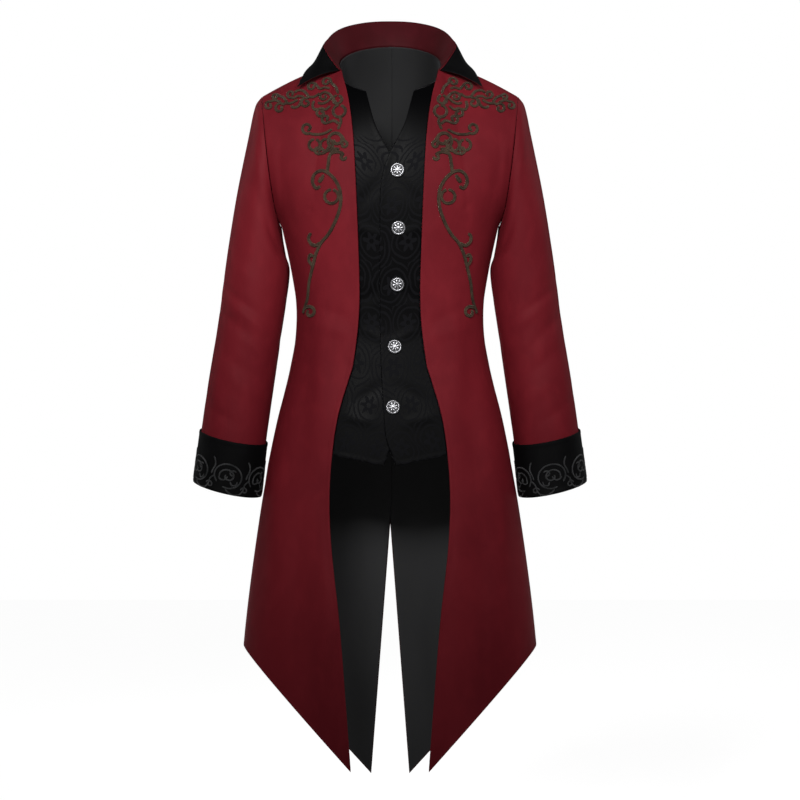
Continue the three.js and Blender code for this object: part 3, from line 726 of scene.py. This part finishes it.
def run(places, step):
    """Evenly spaced points on a smooth curve through given places."""
    places = np.asarray(places, float)
    lengths = np.r_[0, np.cumsum(np.linalg.norm(np.diff(places, axis=0), axis=1))]
    table = {"l": lengths, "x": places[:, 0], "z": places[:, 1]}
    at = np.linspace(0, lengths[-1], max(6, int(lengths[-1] / step)))
    return np.stack([smooth(table, "l", "x", at), smooth(table, "l", "z", at)], axis=-1)


def tube_faces(rows, columns):
    """Quads between the rows of a tube, and across its two ends, which are even-sided rings."""
    index = np.arange(rows * columns).reshape(rows, columns)
    after = np.roll(index, -1, axis=1)
    sides = np.stack([index[:-1], after[:-1], after[1:], index[1:]], axis=-1).reshape(-1, 4)
    a = np.arange(columns // 2 - 1)
    cap = np.stack([a, a + 1, columns - 2 - a, columns - 1 - a], axis=-1)
    return np.vstack([sides, index[0][cap[:, ::-1]], index[-1][cap]])


def cord(path, normal, width, height, outline):
    """Carries a cord's outline along a path on cloth. The outline's first column is across the cord
    and its second is above the cloth. It shrinks to nothing at both ends."""
    ahead = np.gradient(path, axis=0)
    across = np.cross(ahead, normal)
    across /= np.linalg.norm(across, axis=-1, keepdims=True)
    count = len(path)
    end = np.minimum(np.arange(count), np.arange(count)[::-1]) / 1.5
    size = np.sqrt(1 - (1 - np.clip(end, 0, 1)) ** 2) + 0.02
    at = path[:, None] + across[:, None] * outline[None, :, :1] * width * size[:, None, None]
    at = at + normal[:, None] * outline[None, :, 1:] * height * size[:, None, None]
    along = np.r_[0, np.cumsum(np.linalg.norm(np.diff(path, axis=0), axis=1))]
    around = np.linspace(0, width, len(outline))
    flat = np.stack(np.broadcast_arrays(along[:, None], around[None, :]), axis=-1)
    return at.reshape(-1, 3), tube_faces(count, len(outline)), flat.reshape(-1, 2)


def join(name, cords):
    """One mesh of several cords."""
    vertices, faces, flats, start = [], [], [], 0
    for at, quads, flat in cords:
        vertices.append(at)
        faces.append(quads + start)
        flats.append(flat)
        start += len(at)
    return make_mesh(name, np.vstack(vertices), np.vstack(faces), np.vstack(flats))


ROUND_CORD = np.array([
    [-0.5, 0], [-0.46, 0.5], [-0.2, 0.95], [0.2, 0.95], [0.46, 0.5], [0.5, 0], [0.25, -0.3], [-0.25, -0.3],
])
SCROLL_REPEAT = [  # places across and up one repeat, from the cuff's lower edge
    curl(26, 34, 20, 20, 250, 330),
    curl(26, 34, 13, 3, 200, -420),
    curl(33, 39, 6, 2, 40, 300),
    [(24, 12), (30, 7), (38, 5), (46, 8), (50, 15), (52, 24), (58, 31)],
    [(2, 62), (5, 56), (6, 48), (3, 40), (1, 32)],
    curl(52, 14, 6, 1.5, 180, -380),
    [(26, 34), (21, 27), (15, 27), (12, 31)],
    [(30, 26), (33, 20), (39, 22), (40, 28)],
]
VELVET_AND_SHADE = black_velvet()
GREY_CORD = grey_cord()
cuff_stations = CUFF_TOP + (CUFF_BOTTOM - CUFF_TOP) * spread(40, 0.012)
cuff_grid = sleeve(cuff_stations[:, None], turns[None, :], CUFF_SWELL, CUFF_DIP)


def on_cuff(path, sign):
    """Places and normals on the cuff for points given across its girth and up from its edge."""
    turn = path[:, 0] / (REPEAT_WIDTH * CUFF_REPEATS) * 2 * math.pi
    station = CUFF_BOTTOM - (CUFF_BOTTOM - CUFF_TOP) * path[:, 1] / CUFF_HEIGHT

    def at(ds, dt):
        return sleeve(np.minimum(station + ds, 2.85), turn + dt, CUFF_SWELL, CUFF_DIP)
    normal = np.cross(at(0, 0.02) - at(0, -0.02), at(0.01, 0) - at(-0.01, 0))
    normal /= np.linalg.norm(normal, axis=-1, keepdims=True)
    flip = np.array([sign, 1, 1])
    return at(0, 0) * flip + normal * flip * 0.1, normal * flip


for side, sign in SIDES.items():
    piece = shell(f"turned_cuff_{side}", cuff_grid, COAT_WALL, 1, closed=True, roll=0.5, flip=sign < 0)
    finish_piece(piece, [VELVET_AND_SHADE, VELVET_AND_SHADE], [f"cuff_{side}"])
    cords = []
    for repeat in range(CUFF_REPEATS):
        for places in SCROLL_REPEAT:
            path = run(places, 1.6) + [REPEAT_WIDTH * repeat, 0]
            where, normal = on_cuff(path, sign)
            cords.append(cord(where, normal, CORD_WIDTH, 0.8, ROUND_CORD))
    scrolls = join(f"cuff_scrolls_{side}", cords)
    scrolls.data.materials.append(GREY_CORD)
    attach(scrolls, "root")


# --- Collar and its wings ----------------------------------------------------------------------
# A stand of the velveteen on the neckline, higher at the back. Its front ends turn outwards over the roll and
# lie towards the shoulders as two wings, whose outer faces are black as painted shade: the deep shade under
# the turned-out wings.

COLLAR = {
    "round": [0.0, 0.25, 0.5, 0.7, 0.8, 0.9, 0.95, 1.0],
    "rise": [43, 43.5, 42, 36, 30, 16, 8, 3.5],
    "lean": [15, 16, 18, 20, 24, 15, 9, 5],
}
COLLAR_WALL = 2.4
COLLAR_FRONT_TURN = 22
COLLAR_SEAT = -2.0
WING_EDGE = {
    "along": [0.0, 0.25, 0.5, 0.75, 1.0],
    "x": [104, 115, 128, 140, 152],
    "y": [16, 9, -2, -18, -44],
    "z": [36, 14, 1, -11, -38],
}
WING_START = 0.66
WING_TUCK = 1.4  # how far the wings start inside the stand's top edge
WING_CROWN = 6
WING_WALL = 1.6
LEAN_POWER = 1.3  # above 1 the stand leans out more towards its top edge


def neck_seam(around):
    """The neckline from the back (0) past the neck point to the stand's front end (1)."""
    angle = np.asarray(around) * (90 + COLLAR_FRONT_TURN)
    behind = neckline("back", np.clip(angle / 90, 0, 1))
    ahead = neckline("front", np.clip((180 - angle) / 90, 0, 1))
    return np.where((angle <= 90)[..., None], behind, ahead)


def collar(around, height):
    """The stand rises from the neck seam and leans out, more towards its top edge."""
    around, height = np.broadcast_arrays(np.asarray(around, float), np.asarray(height, float))
    reach = np.abs(around)
    base = neck_seam(reach)
    ahead = neck_seam(np.minimum(reach + 0.01, 1)) - neck_seam(np.maximum(reach - 0.01, 0))
    outward = points(-ahead[..., 1], ahead[..., 0], 0)
    outward /= np.linalg.norm(outward, axis=-1, keepdims=True)
    base = base + outward * (smooth(COLLAR, "round", "lean", reach) * height**LEAN_POWER)[..., None]
    base[..., 2] += COLLAR_SEAT + smooth(COLLAR, "round", "rise", reach) * height
    base[..., 0] *= np.where(around < 0, -1, 1)
    return base


def wing(along, fall):
    """From the roll to the outer edge, with a soft crown between them."""
    along, fall = np.broadcast_arrays(along, fall)
    roll = collar(WING_START + (1 - WING_START) * along, 1.0)
    roll[..., 2] -= WING_TUCK
    edge = points(*(smooth(WING_EDGE, "along", axis, along) for axis in "xyz"))
    way = edge - roll
    roll -= way / np.linalg.norm(way, axis=-1, keepdims=True) * WING_TUCK
    where = mix(roll, edge, fall)
    crown = WING_CROWN * np.sin(fall * math.pi) * 0.7 * np.clip(along / 0.4, 0, 1)
    where[..., 1] -= crown
    where[..., 2] += crown
    return where


around = spread(150, 0.006) * 2 - 1
collar_grid = collar(around[None, :], spread(22, 0.03)[:, None])
collar_piece = shell("collar_stand", collar_grid, COLLAR_WALL, -1, roll=0.5)
finish_piece(collar_piece, [RED, RED_PAINTED_SHADE], ["collar"])
wing_grid = wing(spread(40, 0.012)[None, :], spread(26, 0.02)[:, None])
for side, sign in SIDES.items():
    piece = shell(f"collar_wing_piece_{side}", wing_grid, WING_WALL, 1, roll=0.4, flip=sign < 0)
    # The wings' faces take the black velvet as painted shade; their backs are the red velveteen.
    finish_piece(piece, [VELVET_AND_SHADE, RED], [f"collar_wing_{side}"])


# --- Braid -------------------------------------------------------------------------------------
# Dark bronze soutache, a flat cord with a groove down its middle, couched on each front in scrolls
# from the shoulder to the waist.

BRAID_STEP = 1.5
BRAID_HEIGHT = 2.5
BRAID_LIFT = 0.15
STEM_WIDTH, RING_WIDTH, CURL_WIDTH = 5.4, 4.8, 4.6
SOUTACHE = np.array([
    [-0.5, 0.1], [-0.46, 0.6], [-0.28, 0.98], [-0.1, 0.75], [0, 0.5], [0.1, 0.75],
    [0.28, 0.98], [0.46, 0.6], [0.5, 0.1], [0.3, -0.15], [0.0, -0.15], [-0.3, -0.15],
])
BRAID_MAIN = [
    curl(130, -408, 3, 11, 60, -420) + [
        (134, -386), (131, -360), (125, -334), (119, -312), (111, -296), (99, -282), (88, -262), (80, -238),
        (80, -214), (88, -196), (101, -183), (112, -180), (122, -186), (125, -198), (119, -208), (112, -205),
    ],
    [(112, -296), (122, -300), (130, -294), (131, -285), (127, -280)],
    [(124, -334), (131, -324), (129, -315), (123, -318)],
    [(101, -183), (99, -168), (97, -156), (91, -148)] + curl(86, -130, 16, 4, 260, 470),
    [(95, -152), (84, -150), (76, -153)] + curl(74, -159, 5, 2, 70, -300),
    [(107, -186), (110, -194), (114, -198), (110, -190)],
]
BRAID_RINGS = [(94, -222, 11), (122, -137, 9), (102, -138, 10), (82, -82, 10), (85, -62, 7)]
BRAID_UPPER = [
    [(93, -112), (104, -118), (116, -120), (127, -119)] + curl(134, -109, 10, 3, 240, 400),
    [(84, -113), (79, -100), (81, -90)],
    [(86, -72), (92, -60), (98, -52), (106, -48)] + curl(108, -56, 7, 2.5, 90, -360),
    [(94, -58), (101, -64), (110, -68), (118, -66)],
    [(114, -50), (124, -56), (134, -56)] + curl(137, -66, 9, 2.5, 110, -420),
    [(140, -56), (150, -54), (158, -58)] + curl(162, -50, 7, 2, 250, 380),
    [(150, -60), (162, -66), (172, -66)] + curl(180, -74, 9, 2.5, 140, -400),
    [(178, -64), (188, -60), (196, -62)] + curl(198, -69, 7, 2, 90, -380),
    [(124, -62), (126, -72), (122, -78), (116, -76)],
    [(84, -52), (88, -40), (96, -32)] + curl(104, -30, 8, 2.5, 190, -420),
    [(98, -42), (106, -40), (114, -42), (120, -36)] + curl(128, -38, 8, 2.5, 170, -400),
    [(96, -72), (104, -78), (112, -76)] + curl(112, -84, 8, 2.5, 90, -400),
    [(82, -104), (90, -98), (98, -100)] + curl(104, -94, 8, 2.5, 230, 400),
    [(144, -58), (148, -70), (156, -74), (162, -70)],
    [(132, -56), (140, -46), (150, -44), (156, -48)],
    [(168, -64), (174, -56), (182, -52)] + curl(188, -54, 5, 2, 110, -320),
    [(98, -140), (104, -150), (112, -152)] + curl(116, -146, 6, 2, 270, 380),
    [(90, -118), (80, -122), (74, -130)] + curl(74, -138, 6, 2, 90, 360),
]


def bronze_braid():
    """Dark bronze viscose over a black core, its strands slanting to the groove like a herringbone."""
    material, shader, place, flat = new_material("bronze_braid")
    turned = flat.node("ShaderNodeMapping", {"Vector": flat, "Rotation": (0, 0, 0.6)})
    strands = flat.node("ShaderNodeTexWave", {"Vector": turned, "Scale": 260.0, "Distortion": 0.5})
    worn = noise(place, 70.0, 3.0).smooth_step(0.3, 0.7)
    colour = (strands * 0.55 + worn * 0.45).mix((0.009, 0.0055, 0.004, 1), (0.062, 0.041, 0.026, 1))
    set_cloth(shader, colour, 0.5 + strands * 0.12, strands, 0.6, 0.0006, 0.15, (0.8, 0.75, 0.6, 1))
    return material


BRONZE = bronze_braid()
BRAID_NODES = ("stem", "edge", "shoulder")
braid_paths = [(run(places, BRAID_STEP), STEM_WIDTH) for places in BRAID_MAIN]
rings = [curl(x, z, radius, radius, 100, 350) for x, z, radius in BRAID_RINGS]
braid_paths += [(run(places, BRAID_STEP), RING_WIDTH) for places in rings]
braid_paths += [(run(places, BRAID_STEP), CURL_WIDTH) for places in BRAID_UPPER]
for side, sign in SIDES.items():
    flip = np.array([sign, 1, 1])
    normals = grid_normals(front_cloth[side])
    cords = []
    for path, width in braid_paths:
        where, normal = on_cloth(front_cloth[side], normals, path[:, 0], path[:, 1])
        laid = (where + normal * BRAID_LIFT) * flip
        cords.append(cord(laid, normal * flip, width, BRAID_HEIGHT, SOUTACHE))
    braid = join(f"soutache_{side}", cords)
    braid.data.materials.append(BRONZE)
    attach(braid, "root")
    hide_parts(*[f"braid_{part}_{side}" for part in BRAID_NODES])


# --- Buttons -----------------------------------------------------------------------------------
# Five cast buttons in antique silver, domed, with a roped rim and a flower in relief. The hollows
# are dark and the high spots rubbed bright.

BUTTONS = {"x": [12, 14, 12, 8, 5], "z": [-179, -273, -364, -464, -562]}
BUTTON_RADIUS = 11.5
BUTTON_SEAT = 0.9  # from the waistcoat's face to a button's back
BUTTON_TURN = 0.7  # each button is turned a little further than the last


def antique_silver():
    """Rubbed silver over a dark patina, which stays in the hollows of the relief."""
    material, shader, place, flat = new_material("antique_silver")
    relief = flat.node("ShaderNodeSeparateXYZ", {0: flat})
    tarnish = noise(place, 220.0, 4.0).smooth_step(0.35, 0.7)
    bright = (relief * 1000.0).smooth_step(-0.25, 0.35) * (0.75 + tarnish * 0.25)
    colour = bright.mix((0.05, 0.05, 0.052, 1), (0.42, 0.42, 0.44, 1))
    rough = 0.6 - bright * 0.3 + tarnish * 0.05
    tree = place.tree
    tree.links.new(colour.link, shader.inputs["Base Color"])
    tree.links.new(rough.link, shader.inputs["Roughness"])
    bump = tarnish.node("ShaderNodeBump", {"Strength": 0.2, "Distance": 0.0002, "Height": tarnish})
    tree.links.new(bump.link, shader.inputs["Normal"])
    shader.inputs["Metallic"].default_value = 1.0
    return material


SILVER = antique_silver()
button_x, button_z = np.array(BUTTONS["x"], float), np.array(BUTTONS["z"], float)
button_at, button_normal = on_cloth(vest_base, vest_normals, button_x, button_z)
ring = np.r_[[0.02], np.linspace(0.06, 0.98, 26), [1.0, 1.0, 0.9, 0.02]]
theta = np.linspace(0, 2 * math.pi, 72, endpoint=False)


def relief_and_height(r, a):
    """Relief is 0.45 cos 8a on a bell at r 0.5 for the petals, a bell at the middle for the heart, and
    a rim at r 0.86 with 30 strands and a hollow inside it. Height is a dome of 3 over 1.4, plus
    the relief. The last three rings are the edge and the back."""
    def bell(at, spread):
        return np.exp(-(((r - at) / spread) ** 2))

    petals = 0.45 * np.cos(8 * a) * bell(0.5, 0.17)
    rope = 0.3 * np.cos(30 * a) * bell(0.86, 0.06)
    rim = 0.5 * bell(0.86, 0.08) - 0.4 * bell(0.74, 0.05)
    relief = petals + 0.5 * bell(0, 0.16) + rope + rim
    height = 1.4 + 3.0 * np.sqrt(np.clip(1 - (r / 1.05) ** 2, 0, 1)) + relief * (r < 0.97)
    height[-3:] = np.array([1.2, 0.2, 0.0])[:, None]
    relief[-3:] = -0.4
    return relief, height


r, a = np.broadcast_arrays(ring[:, None], theta[None, :])
relief, up = relief_and_height(r, a)
for number, (place, normal) in enumerate(zip(button_at, button_normal)):
    east = np.cross(normal, [0, 0, 1.0])
    east /= np.linalg.norm(east)
    north = np.cross(east, normal)
    spin = a + number * BUTTON_TURN
    base = place + normal * (BUTTON_SEAT - VEST_INSET)
    at = base + (BUTTON_RADIUS * r * np.cos(spin))[..., None] * east
    at = at + (BUTTON_RADIUS * r * np.sin(spin))[..., None] * north + up[..., None] * normal
    flat = np.stack([relief, r * 0], axis=-1).reshape(-1, 2)
    button = make_mesh(f"cast_button_{number + 1}", at.reshape(-1, 3), tube_faces(*r.shape), flat)
    finish_piece(button, [SILVER], [f"button_{number + 1}"])


# --- Studio ------------------------------------------------------------------------------------
# A pale floor, white and glowing behind the coat, under a white sky that gives little light. A key
# and a fill in narrow beams come from above the front, and a soft light comes from each side behind.

FLOOR_Z = -1.42
WORLD_LIGHT = 0.03
FLOOR_REACH = 9.0
floor_at = [(x, y, FLOOR_Z) for y in (-FLOOR_REACH, FLOOR_REACH) for x in (-FLOOR_REACH, FLOOR_REACH)]
floor_faces = [(0, 1, 3, 2)]
floor_mesh = bpy.data.meshes.new("floor")
floor_mesh.from_pydata(floor_at, [], floor_faces)
floor = bpy.data.objects.new("floor", floor_mesh)
bpy.context.scene.collection.objects.link(floor)
paper, paper_shader, paper_place, _ = new_material("pale_paper")
tone = noise(paper_place, 3.0).mix((0.86, 0.86, 0.86, 1), (0.9, 0.9, 0.9, 1))
paper.node_tree.links.new(tone.link, paper_shader.inputs["Base Color"])
paper_shader.inputs["Roughness"].default_value = 0.9
depth_axis = paper_place.node("ShaderNodeSeparateXYZ", {0: paper_place}, output=1)
glow = depth_axis.smooth_step(0.4, 1.7).mix((0.3, 0.3, 0.3, 1), (1, 1, 1, 1))
paper.node_tree.links.new(glow.link, paper_shader.inputs["Emission Color"])
paper_shader.inputs["Emission Strength"].default_value = 0.95
floor_mesh.materials.append(paper)


def soft_light(name, place, target, size, beam, power):
    data = bpy.data.lights.new(name, "AREA")
    data.shape, data.size, data.spread, data.energy = "SQUARE", size, beam, power
    light = bpy.data.objects.new(name, data)
    bpy.context.scene.collection.objects.link(light)
    light.location = place
    way = Vector(target) - Vector(place)
    light.rotation_mode = "QUATERNION"
    light.rotation_quaternion = way.to_track_quat("-Z", "Y")


soft_light("key", (-0.6, -2.7, 0.9), (-0.02, 0, -0.26), 0.7, 0.5, 3.3)
soft_light("fill", (1.3, -2.6, 0.9), (0.04, 0, -0.3), 0.9, 0.52, 1.9)
soft_light("rim_left", (-2.0, 1.0, 0.9), (0, 0, -0.3), 1.0, 1.6, 4)
soft_light("rim_right", (2.0, 1.0, 0.9), (0, 0, -0.3), 1.0, 1.6, 4)
world = bpy.data.worlds.new("studio")
bpy.context.scene.world = world
world.use_nodes = True
ground = world.node_tree.nodes["Background"]
ground.inputs["Color"].default_value = (1, 1, 1, 1)
rays = Socket(world.node_tree, world.node_tree.nodes.new("ShaderNodeLightPath").outputs["Is Camera Ray"])
seen = rays * (1 - WORLD_LIGHT) + WORLD_LIGHT
world.node_tree.links.new(seen.link, ground.inputs["Strength"])

SENSOR = 36.0
CAMERA_DISTANCE = 5.5
VIEW_WIDTH = 1.32
camera_data = bpy.data.cameras.new("camera")
camera_data.sensor_width = SENSOR
camera_data.lens = SENSOR * CAMERA_DISTANCE / VIEW_WIDTH
camera = bpy.data.objects.new("camera", camera_data)
bpy.context.scene.collection.objects.link(camera)
camera.location = (0.0165, -CAMERA_DISTANCE, -0.551)
camera.rotation_euler = (math.pi / 2, 0, 0)
bpy.context.scene.camera = camera
bpy.context.scene.view_settings.view_transform = "Standard"
